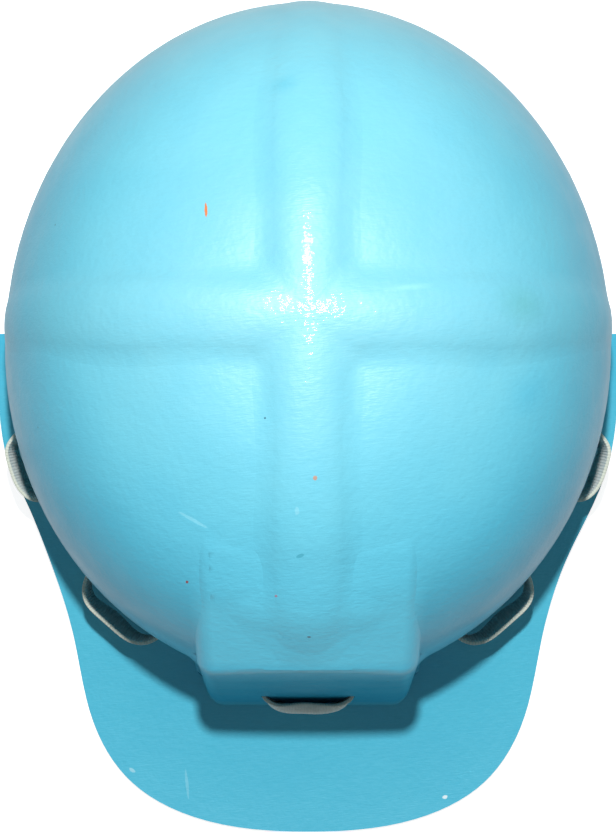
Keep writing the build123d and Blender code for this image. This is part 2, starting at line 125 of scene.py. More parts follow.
def add(kind, inputs=(), output=0, **settings):
    """Adds a node, with inputs in order or by name, and returns the output or outputs asked for."""
    node = tree.nodes.new(kind)
    for name, value in settings.items():
        setattr(node, name, value)
    dress(node, inputs if isinstance(inputs, dict) else dict(enumerate(inputs)))
    return node.outputs[output]


def object_of(name, work, material):
    """Writes a bmesh into a smooth object with a material."""
    mesh = bpy.data.meshes.new(name)
    work.to_mesh(mesh)
    work.free()
    mesh.shade_smooth()
    mesh.materials.append(material)
    made = bpy.data.objects.new(name, mesh)
    scene.collection.objects.link(made)
    print(name, len(mesh.polygons), "faces")
    return made


print("helpers ready")

# %% [markdown]
# ## Light and floor
# One lamp, a little behind the camera as a flash would be, gives the dome its
# modelling and throws the lamp boss's shadow on the peak. The world fills the
# rest evenly. The floor is plain and pale, and only the camera sees it white.

# %% Light and floor
lamp_place = Vector((0, 0.165, 0.70))
lamp_aim = Vector((0, 0.0, 0.09))
lamp_data = bpy.data.lights.new("flash", "AREA")
lamp_data.shape = "DISK"
lamp_data.size = 0.03
lamp_data.energy = 5.45
lamp = bpy.data.objects.new("flash", lamp_data)
lamp.location = lamp_place
lamp.rotation_mode = "QUATERNION"
lamp.rotation_quaternion = (lamp_aim - lamp_place).to_track_quat("-Z", "Y")
scene.collection.objects.link(lamp)


def for_camera(others_see, camera_sees, output):
    """Shows the camera one shader and every other ray another."""
    seen = add("ShaderNodeLightPath", output="Is Camera Ray")
    feed(tree.nodes[output].inputs["Surface"], add("ShaderNodeMixShader", (seen, others_see, camera_sees)))


world = bpy.data.worlds.new("studio")
world.use_nodes = True
scene.world = world
take(world.node_tree)
background = tree.nodes["Background"]
dress(background, {"Color": (0.74, 0.92, 1.0, 1), "Strength": 0.20})
for_camera(background.outputs[0], add("ShaderNodeBackground", {"Strength": 1.0}), "World Output")
scene.view_settings.view_transform = "Standard"

floor_finish, paint = finish("pale_floor")
dress(paint, {"Base Color": (0.7, 0.7, 0.7, 1), "Roughness": 0.9, "Specular IOR Level": 0.0})
glow = add("ShaderNodeEmission", {"Strength": 0.85})
for_camera(paint.outputs[0], add("ShaderNodeAddShader", (paint.outputs[0], glow)), "Material Output")
sheet = bmesh.new()
bmesh.ops.create_grid(sheet, x_segments=1, y_segments=1, size=3.0)
floor = object_of("floor", sheet, floor_finish)
floor.location.z = -0.0003

# %% [markdown]
# ## Places and patterns
# Every finish is read from Object coordinates, so that it stays on the piece
# from any side. Blender's noise and its scattered cells are the only patterns
# used: they are enough for brushed paint, blotches, grit and felt.


# %% Places and patterns
def place_on(shift=(0, 0, 0), turn=(0, 0, 0), scale=(1, 1, 1)):
    """Object coordinates, moved, turned and scaled."""
    here = add("ShaderNodeTexCoord", output="Object")
    inputs = {"Vector": here, "Location": shift, "Rotation": turn, "Scale": scale}
    return add("ShaderNodeMapping", inputs, vector_type="TEXTURE")


def parts_of(vector):
    """The three numbers of a vector."""
    return add("ShaderNodeSeparateXYZ", (vector,), slice(0, 3))


def far_from(vector):
    """How far a mapped point is from its centre."""
    return add("ShaderNodeVectorMath", (vector,), "Value", operation="LENGTH")


def noise(vector, scale, detail=2.0, roughness=0.5):
    """Soft noise, from 0 to 1."""
    inputs = {"Vector": vector, "Scale": scale, "Detail": detail, "Roughness": roughness}
    return add("ShaderNodeTexNoise", inputs, "Fac")


def cells(vector, scale):
    """Distance to, and colour of, the nearest of many scattered points."""
    return add("ShaderNodeTexVoronoi", {"Vector": vector, "Scale": scale}, slice(0, 2))


print("patterns ready")

# %% [markdown]
# ## Sums and masks
# A mask is a value that is 1 where a finish lies and 0 elsewhere. Small sums
# make masks from places and put them together, so no picture of the finish has
# to be painted or wrapped round the piece.


# %% Sums and masks
def maths(operation, *values):
    """One sum."""
    return add("ShaderNodeMath", values, operation=operation)


def times(first, second):
    """One value times another."""
    return maths("MULTIPLY", first, second)


def scaled(value, factor, plus):
    """A value times a factor, plus another value."""
    return maths("MULTIPLY_ADD", value, factor, plus)


def size_of(value):
    """A value without its sign."""
    return maths("ABSOLUTE", value)


def below(value, limit):
    """1 where a value is below a limit, otherwise 0."""
    return maths("LESS_THAN", value, limit)


def above(value, limit):
    """1 where a value is above a limit, otherwise 0."""
    return maths("GREATER_THAN", value, limit)


def all_of(mask, *others):
    """Masks multiplied together."""
    for other in others:
        mask = times(mask, other)
    return mask


def any_of(mask, *others):
    """The highest of several masks."""
    for other in others:
        mask = maths("MAXIMUM", mask, other)
    return mask


def span(value, low, high, to_low=0.0, to_high=1.0):
    """A value moved from one range to another and kept inside it."""
    return add("ShaderNodeMapRange", (value, low, high, to_low, to_high))


def wave(value, pitch):
    """A smooth wave from 0 to 1 with a pitch in metres."""
    return scaled(maths("SINE", times(value, 2 * math.pi / pitch)), 0.5, 0.5)


def mottled(vector, scale, roughness=0.6):
    """Blotches from 0 to 1, with more contrast than plain noise."""
    return span(noise(vector, scale, 4, roughness), 0.3, 0.7)


print("sums ready")

# %% [markdown]
# ## Colours and bumps
# Colours are laid over each other by a share, as thin coats of paint are. A
# bump tilts the light as a real height would, without any more geometry.


# %% Colours and bumps
def blend(share, first, second):
    """Two colours mixed by a share."""
    sides = [side if isinstance(side, bpy.types.NodeSocket) else (*side, 1) for side in (first, second)]
    return add("ShaderNodeMix", {"Factor": share, "A": sides[0], "B": sides[1]}, "Result", data_type="RGBA")


def ramp(value, stops):
    """A run of colours along a value from 0 to 1."""
    colours = add("ShaderNodeValToRGB", (value,))
    bar = colours.node.color_ramp.elements
    for place, shade in stops[2:]:
        bar.new(place)
    for stop, (place, shade) in zip(bar, stops):
        stop.position = place
        stop.color = (*shade, 1)
    return colours


def relief(height, distance, strength=1.0, under=None):
    """A bump of a real height in metres, on top of another."""
    inputs = {"Distance": distance, "Strength": strength, "Height": height, "Normal": under}
    return add("ShaderNodeBump", inputs)


print("colours ready")

# %% [markdown]
# ## Enamel
# The shell is resin-bonded cloth under a thick coat of sky-blue enamel, put on
# by hand. The colour follows height and place: the crown and the rear are paler,
# partly from sun-fading and partly as painted sheen and light from the lamp on
# top; the boss's shelf is painted lighter, as painted light where the lamp falls
# on it; and the boss's front, which lies in shade, is painted deeper as painted
# shade. Up close it has an orange-peel skin, faint brush lines, grit and a few
# chips. A thin, very smooth coat gives the small sharp highlight, and a fine
# bump breaks it up as the real skin does.

# %% Enamel colour
enamel, paint = finish("sky_blue_enamel")
whole = place_on()
x, y, z = parts_of(whole)
aside = size_of(x)
brushed = noise(place_on(turn=(0, 0, 0.1), scale=(1.0, 0.16, 0.4)), 300, 2, 0.6)
# Colour by height and place: paler and greyer towards the crown, a little less so towards the front. This is partly
# sun-fading and partly painted sheen and light where the lamp falls on the top.
forward = span(y, 0.030, -0.030, 0, -0.16)
level = scaled(noise(whole, 14, 3, 0.55), 0.10, maths("ADD", forward, span(z, 0, 0.1415, -0.05, 0.95)))
colour = ramp(level, [
    (0.00, (0.075, 0.470, 0.630)),
    (0.12, (0.045, 0.445, 0.650)),
    (0.34, (0.028, 0.470, 0.720)),
    (0.56, (0.070, 0.500, 0.700)),
    (0.80, (0.140, 0.505, 0.630)),
    (1.00, (0.195, 0.495, 0.580)),
])
# Painted light: the boss's shelf is painted lighter, where the lamp falls on it.
shelf_painted_light = all_of(span(y, -0.040, -0.056), span(y, -0.080, -0.074), span(aside, 0.030, 0.037, 1, 0),
               span(z, 0.080, 0.092))
# Painted shade: the boss's front, which lies in shade, is painted deeper; its specular level is also lower there.
front_painted_shade = all_of(span(y, -0.078, -0.084), span(z, 0.090, 0.082), span(aside, 0.048, 0.040), span(z, 0.010, 0.020))
# Painted sheen and light: the rear of the dome is painted paler and greyer.
colour = blend(span(y, 0.075, 0.135, 0, 0.8), colour, (0.25, 0.62, 0.71))
colour = blend(times(shelf_painted_light, 0.85), colour, (0.150, 0.660, 0.860))
colour = blend(times(front_painted_shade, 0.9), colour, (0.004, 0.34, 0.55))
colour = blend(span(brushed, 0.35, 0.75, 0, 0.16), colour, (0.17, 0.60, 0.76))
colour = blend(span(noise(whole, 45, 4, 0.6), 0.35, 0.7, 0, 0.14), colour, (0.055, 0.40, 0.60))
grain_size = 0.10
dark_grit = (whole, 190, 0.955, 0.8, (0.02, 0.14, 0.20))
pale_grit = (place_on((0.3, 0.2, 0.1)), 150, 0.965, 0.6, (0.60, 0.82, 0.86))
for place, scale, rarity, strength, shade in (dark_grit, pale_grit):
    reach, pick = cells(place, scale)
    grit = all_of(below(reach, grain_size), above(pick, rarity))
    colour = blend(times(grit, strength), colour, shade)
print("enamel nodes", len(tree.nodes))

# %% [markdown]
# ## Marks of use
# The photograph shows each of these: an orange chip beside the rear ridge, a
# ring of rust on the front ridge, dots where primer shows, scratches on the
# left side, a greenish smear by the side ridge and pale rubs on the peak. Each
# is an oval in Object coordinates, set where its pixel lands on the shell, and
# a little noise makes its edge ragged. The small ones have the harder edges.

# %% Marks of use
mark_depth = 0.006
small_mark = 5e-6
marks = [
    ((206, 210), (0.0004, 0.0020), 0.05, (0.62, 0.16, 0.03), 0.95),
    ((315, 478), (0.0006, 0.0006), 0.0, (0.50, 0.22, 0.12), 0.8),
    ((187, 582), (0.0004, 0.0004), 0.0, (0.30, 0.05, 0.04), 0.9),
    ((276, 596), (0.0004, 0.0004), 0.0, (0.45, 0.16, 0.22), 0.7),
    ((309, 637), (0.0006, 0.0003), 0.0, (0.10, 0.06, 0.07), 0.7),
    ((265, 418), (0.0003, 0.0003), 0.0, (0.02, 0.10, 0.15), 0.8),
    ((300, 556), (0.0011, 0.0005), 0.4, (0.03, 0.26, 0.34), 0.5),
    ((297, 511), (0.0006, 0.0012), 0.0, (0.55, 0.85, 0.90), 0.15),
    ((284, 84), (0.0045, 0.0032), 0.3, (0.08, 0.42, 0.56), 0.35),
    ((445, 797), (0.0009, 0.0006), 0.3, (0.85, 0.90, 0.90), 0.8),
    ((187, 784), (0.0005, 0.0050), 0.1, (0.35, 0.70, 0.80), 0.3),
    ((132, 770), (0.0012, 0.0006), -0.6, (0.60, 0.82, 0.86), 0.4),
    ((193, 520), (0.0045, 0.0005), -0.5, (0.35, 0.74, 0.84), 0.3),
    ((524, 304), (0.0150, 0.0065), 0.0, (0.10, 0.38, 0.38), 0.4),
    ((530, 392), (0.0100, 0.0065), 0.4, (0.04, 0.40, 0.60), 0.25),
    ((410, 287), (0.0070, 0.0010), 0.1, (0.30, 0.66, 0.74), 0.4),
]
rough_edge = noise(whole, 900, 3, 0.7)
for pixel, (half_width, half_height), turn, shade, strength in marks:
    spot = place_on(on_shell(*pixel), (0, 0, turn), (half_width, half_height, mark_depth))
    share = scaled(rough_edge, -0.9, maths("SUBTRACT", 1.75, far_from(spot)))
    softness = 0.3 if half_width * half_height < small_mark else 1.1
    colour = blend(span(share, 0.1, 0.1 + softness, 0, strength), colour, shade)
print("marks", len(marks))

# %% [markdown]
# ## Bare laminate
# Inside, under the peak and along the brim's cut edge there is no enamel: the
# cloth shows, dark with resin. Which side of the shell a point is on follows
# from its place and its normal. Inside the dome it points back at the head,
# inside the boss it points backwards or inwards, under the peak it points down,
# and on the cut edge it lies flat.

# %% Bare laminate
wall_normal = add("ShaderNodeNewGeometry", output="True Normal")
face_x, face_y, face_z = parts_of(wall_normal)
from_middle = add("ShaderNodeVectorMath", (whole, (0, 0.026, 0.03)), operation="SUBTRACT")
facing = add("ShaderNodeVectorMath", (wall_normal, from_middle), "Value", operation="DOT_PRODUCT")
oval = far_from(place_on((0, 0.0262, 0), scale=(0.1033, 0.1180, 1000)))
inward = times(below(oval, 1.0), below(facing, 0))
downward = below(face_z, -0.3)
off_boss = any_of(below(y, -0.108), above(aside, 0.060))
cut_edge = all_of(below(size_of(face_z), 0.4), above(oval, 1.035), below(z, 0.0118), off_boss)
turned_back = any_of(above(face_y, 0.25), below(times(x, face_x), -0.012))
boss_inside = all_of(turned_back, below(y, -0.066), below(aside, 0.047))
bare = any_of(inward, downward, cut_edge, boss_inside)
bare.node.name = "bare"

thread_pitch = 0.0017
cloth = times(wave(scaled(z, 0.7, x), thread_pitch), wave(scaled(z, -0.7, y), thread_pitch))
laminate = blend(mottled(whole, 60), (0.060, 0.034, 0.020), (0.125, 0.078, 0.045))
laminate = blend(times(cloth, 0.35), laminate, (0.20, 0.14, 0.085))
print("laminate nodes", len(tree.nodes))

# %% [markdown]
# ## Enamel's skin
# Three bumps of real heights lie on each other: slow waves left by the mould,
# orange peel and brush lines. The bare cloth has its weave instead.


# %% Enamel's skin
def cover(node, material):
    """Gives a CAD node a new finish and nothing else."""
    nodes[node].data.materials.clear()
    nodes[node].data.materials.append(material)


painted = maths("SUBTRACT", 1, bare)
skin = relief(noise(whole, 55, 2), 0.0008, 0.35)
skin = relief(noise(whole, 430, 1.5), 0.00028, 0.45, skin)
skin = relief(times(brushed, painted), 0.00016, 0.45, skin)
skin = relief(times(cloth, bare), 0.0004, 0.8, skin)
dress(paint, {
    "Base Color": blend(bare, colour, laminate),
    "IOR": 1.45,
    "Specular IOR Level": scaled(front_painted_shade, -0.3, 0.4),
    "Roughness": scaled(bare, 0.15, span(noise(whole, 70, 3), 0.3, 0.7, 0.40, 0.52)),
    "Coat Weight": scaled(painted, 0.2, 0.03),
    "Coat Roughness": 0.06,
    "Coat IOR": 1.5,
    "Normal": skin,
    "Coat Normal": skin,
})
cover("shell", enamel)
print("shell painted")

# %% [markdown]
# ## Woven cotton
# The lacing tape and the cradle's straps are the same kind of cotton webbing:
# fine ribs run across it, thin threads run along it, and years of handling
# have greyed it. Every strip below carries two measures in metres, "along" and
# "across", and the weave reads those, so it bends round each loop as cloth does.


# %% Woven cotton
def measure(name):
    """A named measure that a strip carries in its mesh."""
    return add("ShaderNodeAttribute", output="Fac", attribute_name=name)


def stitches(along, across, row, pitch=0.0032, thickness=0.00045):
    """A row of thread stitches at one place across a strip."""
    in_row = span(size_of(maths("SUBTRACT", across, row)), thickness * 0.5, thickness, 1, 0)
    return times(in_row, span(wave(along, pitch), 0.22, 0.34))


def webbing_finish(name, dark, light, soil_and_shade, rib_pitch):
    """Ribbed cotton webbing in three tones, with two sewn rows where its mesh says so."""
    material, paint = finish(name)
    along = measure("along")
    across = measure("across")
    place = place_on()
    rib = wave(scaled(noise(place, 500, 2), 0.0006, along), rib_pitch)
    thread = wave(scaled(noise(place, 700, 2), 0.0003, across), 0.0008)
    weave = scaled(thread, 0.35, rib)
    rows = maths("ADD", stitches(along, across, 0.0058), stitches(along, across, -0.0058))
    sewn = times(rows, measure("sewn"))
    colour = blend(mottled(place, 90, 0.65), dark, light)
    colour = blend(times(span(weave, 0.1, 0.8, 1, 0), 0.15), colour, soil_and_shade)
    colour = blend(span(noise(place, 38, 3, 0.6), 0.52, 0.72, 0, 0.5), colour, soil_and_shade)
    # Painted shade: both edges of the webbing are darkened in the soil colour, as the shade that lies on the tape's
    # rims.
    colour = blend(span(size_of(across), 0.0092, 0.0100, 0, 0.75), colour, soil_and_shade)
    bumps = relief(weave, 0.00018, 0.8)
    bumps = relief(noise(place, 1600, 2), 0.0002, 0.5, bumps)
    dress(paint, {
        "Base Color": blend(sewn, colour, light),
        "Roughness": span(weave, 0.2, 1.2, 0.95, 0.8),
        "Specular IOR Level": 0.2,
        "Sheen Weight": 0.25,
        "Sheen Roughness": 0.5,
        "Normal": relief(sewn, 0.0006, 0.8, bumps),
    })
    return material


tape_cotton = webbing_finish(
    "grey_tape_cotton", (0.74, 0.76, 0.69), (0.88, 0.90, 0.84), (0.52, 0.54, 0.44), 0.0011)
strap_cotton = webbing_finish(
    "cradle_cotton", (0.46, 0.44, 0.36), (0.62, 0.59, 0.50), (0.26, 0.23, 0.16), 0.0015)
print("webbing finishes", tape_cotton.name, strap_cotton.name)

# %% [markdown]
# ## Making pieces
# Each new piece is a bmesh that ends as a named object at the origin. It rides
# on the body of the CAD node that it stands for, and that node is hidden.


# %% Making pieces
def make_piece(name, work, material, node, crease=35):
    """Writes a bmesh into a named piece that stands for a CAD node."""
    bmesh.ops.recalc_face_normals(work, faces=work.faces)
    made = object_of(name, work, material)
    made.data.set_sharp_from_angle(angle=math.radians(crease))
    bodies = frame["record"]["behaviour"]["bodies"]
    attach(made, next(body for body, members in bodies.items() if node in members))
    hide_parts(node)
    return made


def merged_copy(node):
    """A CAD node's mesh as a bmesh with its doubles merged."""
    work = bmesh.new()
    work.from_mesh(nodes[node].data)
    bmesh.ops.remove_doubles(work, verts=work.verts, dist=1e-5)
    return work


def measures(work, *names):
    """New measures in metres for the corners of a bmesh."""
    return [work.verts.layers.float.new(name) for name in names]


def draw_out(work, edges, move):
    """Extrudes a run of edges once, hands each new corner to move, and returns the new run."""
    made = bmesh.ops.extrude_edge_only(work, edges=edges)["geom"]
    corners = {item for item in made if isinstance(item, bmesh.types.BMVert)}
    for corner in corners:
        move(corner)
    return [item for item in made if isinstance(item, bmesh.types.BMEdge) and set(item.verts) <= corners]


def round_edges(work, offset, sharper, segments=2, clamp=False):
    """Bevels the edges that turn by more than an angle in radians."""
    rims = [edge for edge in work.edges if edge.calc_face_angle(0) > sharper]
    bmesh.ops.bevel(work, geom=rims, offset=offset, affect="EDGES", segments=segments, profile=0.5,
                    material=-1, clamp_overlap=clamp)


print("piece makers ready")

# %% [markdown]
# ## The tape's path
# One long tape weaves out and in through sixteen slots just above the brim, and
# the photograph shows five of its eight outer loops. The CAD tape's lower edge
# gives its exact path through the slots. It is evened out into stations here,
# which start and end under a cradle strap, where the weave's seam is hidden.

# %% The tape's path
tape_low, tape_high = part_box("lacing_tape")
tape_width = tape_high.z - tape_low.z
tape_thickness = 0.0012
station_count = 640
seam_place = (0.046, 0.126)


def walk(edges):
    """The corners of closed runs of edges, in order, one list for each run."""
    joined = {}
    for edge in edges:
        first, second = edge.verts
        joined.setdefault(first, []).append(second)
        joined.setdefault(second, []).append(first)
    runs = []
    while joined:
        corner = next(iter(joined))
        run = []
        while corner in joined:
            run.append(corner.co.copy())
            onward = joined.pop(corner)
            corner = next((other for other in onward if other in joined), None)
        runs.append(run)
    return runs


def length_of(run):
    """Length round a closed run of points."""
    return sum((b - a).length for a, b in zip(run, run[1:] + run[:1]))


outline = merged_copy("lacing_tape")
foot_edges = [
    edge for edge in outline.edges
    if all(corner.co.z < tape_low.z + 1e-5 for corner in edge.verts)
    and sum(abs(face.normal.z) > 0.7 for face in edge.link_faces) == 1
]
outer_run = max(walk(foot_edges), key=length_of)
outline.free()
tape_length = length_of(outer_run)
ring_array = np.array([tuple(point) for point in outer_run + outer_run[:1]])
travel = np.concatenate([[0], np.cumsum(np.linalg.norm(np.diff(ring_array, axis=0), axis=1))])
stations = np.linspace(0, tape_length, station_count, endpoint=False)
tape_line = np.stack([np.interp(stations, travel, ring_array[:, axis]) for axis in range(3)], axis=1)
seam = int(np.argmin(np.hypot(tape_line[:, 0] - seam_place[0], tape_line[:, 1] - seam_place[1])))
tape_line = np.roll(tape_line, -seam, axis=0)
ahead = np.roll(tape_line, -1, axis=0) - np.roll(tape_line, 1, axis=0)
outward = np.stack([ahead[:, 1], -ahead[:, 0], 0 * ahead[:, 0]], axis=1)
outward /= np.linalg.norm(outward, axis=1)[:, None]
if np.sum(outward * (tape_line - tape_line.mean(axis=0))) < 0:
    outward = -outward
print("tape length", round(tape_length, 4), "station", round(tape_length / station_count, 5))

# %% [markdown]
# ## Lacing tape
# A copy of the path is drawn upwards in rows and thickened. A slack tape's edges
# stand a little wider than its middle, so the rows flare. The front and side
# loops lean in at the foot, and the front one's upper edge rolls inwards.

# %% Lacing tape
shell_half_width = 0.1047
shell_front = 0.1157
shell_rear = 0.1195
shell_middle_y = 0.0262


def wall_angle(point):
    """Degrees round the shell's oval, from the front."""
    reach = shell_front if point[1] < shell_middle_y else shell_rear
    return math.degrees(math.atan2(point[0] / shell_half_width, -(point[1] - shell_middle_y) / reach))


def loop_shares(centre, half_span):
    """For every station: 1 in the middle of a loop and its mirror image, 0 at its slots."""
    offs = [abs(abs(wall_angle(point)) - centre) / half_span for point in tape_line]
    return np.array([math.cos(min(off, 1) * math.pi / 2) ** 2 for off in offs])


side_foot = -0.0016
corner_foot = -0.0030
front_foot = -0.0012
front_head = -0.0005
front_curl = 0.0046
corner_curl = 0.0010
lip = 0.00025
edge_bend = 1.3
roll_drop = 0.35
at_front = loop_shares(0, 7.0)
at_corner = loop_shares(38.7, 8.5)
at_side = loop_shares(69.5, 6.0)
lean = side_foot * at_side + corner_foot * at_corner + front_foot * at_front
nod = front_head * at_front
curl = front_curl * loop_shares(0, 7.7) ** 0.3 + corner_curl * at_corner
rows = [0, 0.0006, 0.002, 0.006, 0.010, 0.014, 0.0155, 0.0168, 0.0178, 0.0186, 0.0194, tape_width]


def stand(number, height):
    """Where one station of the tape is at a height above its lower edge."""
    up = height / tape_width
    off = lean[number] * (1 - up) ** edge_bend + nod[number] * up ** edge_bend
    off += lip * max(0, abs(height - tape_width / 2) / (tape_width / 2) - 0.6) / 0.4
    roll = curl[number] * max(0, (up - 0.72) / 0.28) ** 2
    return Vector(tape_line[number] + outward[number] * (off - roll)) + Vector((0, 0, height - roll_drop * roll))


tape = bmesh.new()
along, across = measures(tape, "along", "across")
station = tape.verts.layers.int.new("station")
start = [tape.verts.new(stand(number, 0)) for number in range(station_count)]
for number, corner in enumerate(start):
    corner[along] = number * tape_length / station_count
    corner[across] = -tape_width / 2
    corner[station] = number
run = [tape.edges.new(pair) for pair in zip(start, start[1:] + start[:1])]
for height in rows[1:]:
    def rise(corner):
        corner[across] = height - tape_width / 2
        corner.co = stand(corner[station], height)
    run = draw_out(tape, run, rise)
bmesh.ops.recalc_face_normals(tape, faces=tape.faces)
bmesh.ops.solidify(tape, geom=tape.faces, thickness=tape_thickness)
round_edges(tape, 0.0003, 1.0)
make_piece("woven_lacing_tape", tape, tape_cotton, "lacing_tape", 60)

# %% [markdown]
# ## A strap's path
# Eight straps hang the cradle in the shell. Each one is a single strip of
# webbing: its lower end goes down behind the lacing tape, under it and up in
# front, and is sewn to itself; it then arches up to the crown, goes round the
# crown lace and is sewn again.

# %% A strap's path
cradle_middle = Vector((0, 0.024, 0))
cradle_angles = (18.8, 55.3, 99.0, 152.0)
tape_inset = 0.0068
strap_width = 0.017
hold_half_width = 0.016
hold_nearest = 0.05
strap_thickness = 0.0012
lace_ring = 0.032
lace_height = 0.104
arch_foot = 0.03295
arch_top = 0.10645
arch_start = 0.05
arch_steps = 26
loop_half = 0.00155
eye = 0.00245


def strap_hold(side, angle):
    """A strap's reach from the cradle's middle to the tape, and its direction."""
    turn = math.radians(angle)
    reach = shell_front if math.cos(turn) > 0 else shell_rear
    normal = Vector((math.sin(turn) / shell_half_width, -math.cos(turn) / reach, 0)).normalized()
    wall = Vector((shell_half_width * math.sin(turn), shell_middle_y - reach * math.cos(turn), 0))
    hold = wall - normal * tape_inset - cradle_middle
    return hold.length, side * math.atan2(hold.x, -hold.y)


def arch(reach, inset, turn):
    """A point of the arch, or of a run beside it, at a turn from its foot."""
    return (lace_ring + (reach - lace_ring - inset) * math.cos(turn),
            arch_foot + (arch_top - arch_foot - inset) * math.sin(turn))


def strap_path(reach):
    """The strap's path from its sewn lower end to its sewn upper end, and where it is sewn."""
    inner = [arch(reach, 0.0016, turn) for turn in (0.26, 0.20, 0.14, 0.08, 0.03)]
    inner += [(reach - loop_half - 0.0002, 0.0325), (reach - loop_half, 0.028), (reach - loop_half, 0.020)]
    under = [(reach - loop_half, 0.0125), (reach - 0.0011, 0.0113), (reach, 0.0108), (reach + 0.0011, 0.0113)]
    outer = [(reach + loop_half, 0.0125), (reach + loop_half, 0.020), (reach + loop_half, 0.029),
             (reach + 0.0012, 0.0325), (reach + 0.0004, 0.0350)]
    turns = [arch_start + (math.pi / 2 - arch_start) * step / arch_steps for step in range(arch_steps + 1)]
    upper = [arch(reach, 0, turn) for turn in turns]
    ring = [(lace_ring - eye * math.sin(turn), lace_height + eye * math.cos(turn))
            for turn in (0.5, 1.0, 1.5, 2.0, 2.5, 3.0)]
    back = [(lace_ring + 0.0022, lace_height - 0.0019), (lace_ring + 0.0048, lace_height + 0.0002)]
    back += [arch(reach, 0.0014, math.pi / 2 - turn) for turn in (0.12, 0.18, 0.24, 0.30)]
    path = inner + under + outer + upper + ring + back
    low = len(inner) - 3
    join = len(inner + under + outer) + 3
    high = len(path) - len(ring + back) - 6
    return path, [number < low or join < number < join + 6 or number > high for number in range(len(path))]


def tape_beside(place):
    """Where the lacing tape's middle line passes a strap: places across it and their reaches."""
    near = [place.inverted() @ Vector(point) for point in tape_line - outward * (tape_thickness / 2)]
    rows = sorted((spot.y, spot.x) for spot in near if abs(spot.y) < hold_half_width and spot.x > hold_nearest)
    return [row[0] for row in rows], [row[1] for row in rows]


strap_holds = [strap_hold(side, angle) for side in (1, -1) for angle in cradle_angles]
print("strap reaches", [round(reach, 4) for reach, direction in strap_holds])

# %% [markdown]
# ## Cradle straps
# An edge as wide as the webbing is drawn along that path, step by step, so one
# strip makes the arch and both loops. Its lower loop then bends with the tape
# that it holds.

# %% Cradle straps
width_shares = (-0.5, -0.3, -0.1, 0.1, 0.3, 0.5)
hug_top = 0.052
hug_fade = 0.018

for count, (reach, direction) in enumerate(strap_holds, 1):
    place = Matrix.Translation(cradle_middle) @ Matrix.Rotation(direction - math.pi / 2, 4, "Z")
    path, is_sewn = strap_path(reach)
    strap = bmesh.new()
    along, across, sewn = measures(strap, "along", "across", "sewn")
    corners = [strap.verts.new((path[0][0], strap_width * share, path[0][1])) for share in width_shares]
    for corner, share in zip(corners, width_shares):
        corner[across] = strap_width * share
    run = [strap.edges.new(pair) for pair in zip(corners, corners[1:])]
    for first, second, stitched in zip(path, path[1:], is_sewn):
        step = Vector((second[0] - first[0], 0, second[1] - first[1]))

        def onward(corner):
            corner.co += step
            corner[along] += step.length
            corner[sewn] = float(stitched)
        run = draw_out(strap, run, onward)
    across_places, reaches = tape_beside(place)
    for corner in strap.verts:
        hug = max(0.0, min(1.0, (hug_top - corner.co.z) / hug_fade))
        corner.co.x += hug * (np.interp(corner.co.y, across_places, reaches) - reach)
    bmesh.ops.recalc_face_normals(strap, faces=strap.faces)
    strap.normal_update()
    shifts = [(corner, corner.normal * (strap_thickness / 2)) for corner in strap.verts]
    for corner, shift in shifts:
        corner.co += shift
    bmesh.ops.solidify(strap, geom=strap.faces, thickness=strap_thickness)
    for corner in strap.verts:
        corner[sewn] = round(corner[sewn])
    round_edges(strap, 0.0002, 1.2, 1)
    bmesh.ops.transform(strap, matrix=place, verts=strap.verts)
    make_piece(f"webbing_strap_{count}", strap, strap_cotton, f"cradle_strap_{count}", 50)

# %% [markdown]
# ## Cord
# A tube follows a smooth NURBS line through control points. Its ring turns with
# the line at each step, and carries how far along and round the cord it is.


# %% Cord
def line_points(points):
    """The corners of a smooth NURBS line through control points."""
    line = bpy.data.curves.new("line", "CURVE")
    line.dimensions = "3D"
    spline = line.splines.new("NURBS")
    spline.points.add(len(points) - 1)
    for point, spot in zip(spline.points, points):
        point.co = (*spot, 1)
    spline.order_u = 3
    spline.use_endpoint_u = True
    spline.resolution_u = 8
    carrier = bpy.data.objects.new("line", line)
    flat = bpy.data.meshes.new_from_object(carrier)
    spots = [corner.co.copy() for corner in flat.vertices]
    bpy.data.objects.remove(carrier)
    bpy.data.meshes.remove(flat)
    return spots


def tube(points, radius, sides=10):
    """A round tube along a smooth line, as a bmesh."""
    spots = line_points(points)
    work = bmesh.new()
    along, across = measures(work, "along", "across")
    heading = (spots[1] - spots[0]).normalized()
    upright = Matrix.Translation(spots[0]) @ heading.to_track_quat("Z", "Y").to_matrix().to_4x4()
    ring = bmesh.ops.create_circle(work, segments=sides, radius=radius, matrix=upright)["verts"]
    for number, corner in enumerate(ring):
        corner[across] = 2 * abs(number / sides - 0.5)
    run = list({edge for corner in ring for edge in corner.link_edges})
    bmesh.ops.contextual_create(work, geom=run)
    for first, second, third in zip(spots, spots[1:], spots[2:] + [2 * spots[-1] - spots[-2]]):
        onward = (third - first).normalized()
        swing = heading.rotation_difference(onward).to_matrix().to_4x4()
        carry = Matrix.Translation(second) @ swing @ Matrix.Translation(-first)
        reach = (second - first).length

        def follow(corner):
            corner.co = carry @ corner.co
            corner[along] += reach
        run = draw_out(work, run, follow)
        heading = onward
    bmesh.ops.contextual_create(work, geom=run)
    return work


print("cord maker ready")

# %% [markdown]
# ## Crown lace
# A cotton cord runs through the eight upper loops, and its length sets how
# deep the helmet sits. A smooth curve carries it between the loops, and a reef
# knot with two short ends closes it at the rear. The braid is a bump that reads
# the tube's own measures.

# %% Crown lace
cord_cotton, paint = finish("braided_cotton")
ply = 0.0024
plies = [wave(scaled(measure("across"), lay, measure("along")), ply) for lay in (ply, -ply)]
braid = any_of(*plies)
colour = blend(mottled(place_on(), 160), (0.50, 0.46, 0.36), (0.70, 0.67, 0.58))
dress(paint, {
    "Base Color": blend(span(braid, 0.4, 0.9, 0.5, 0), colour, (0.28, 0.24, 0.17)),
    "Roughness": 0.9,
    "Specular IOR Level": 0.2,
    "Normal": relief(braid, 0.0005, 0.8),
})

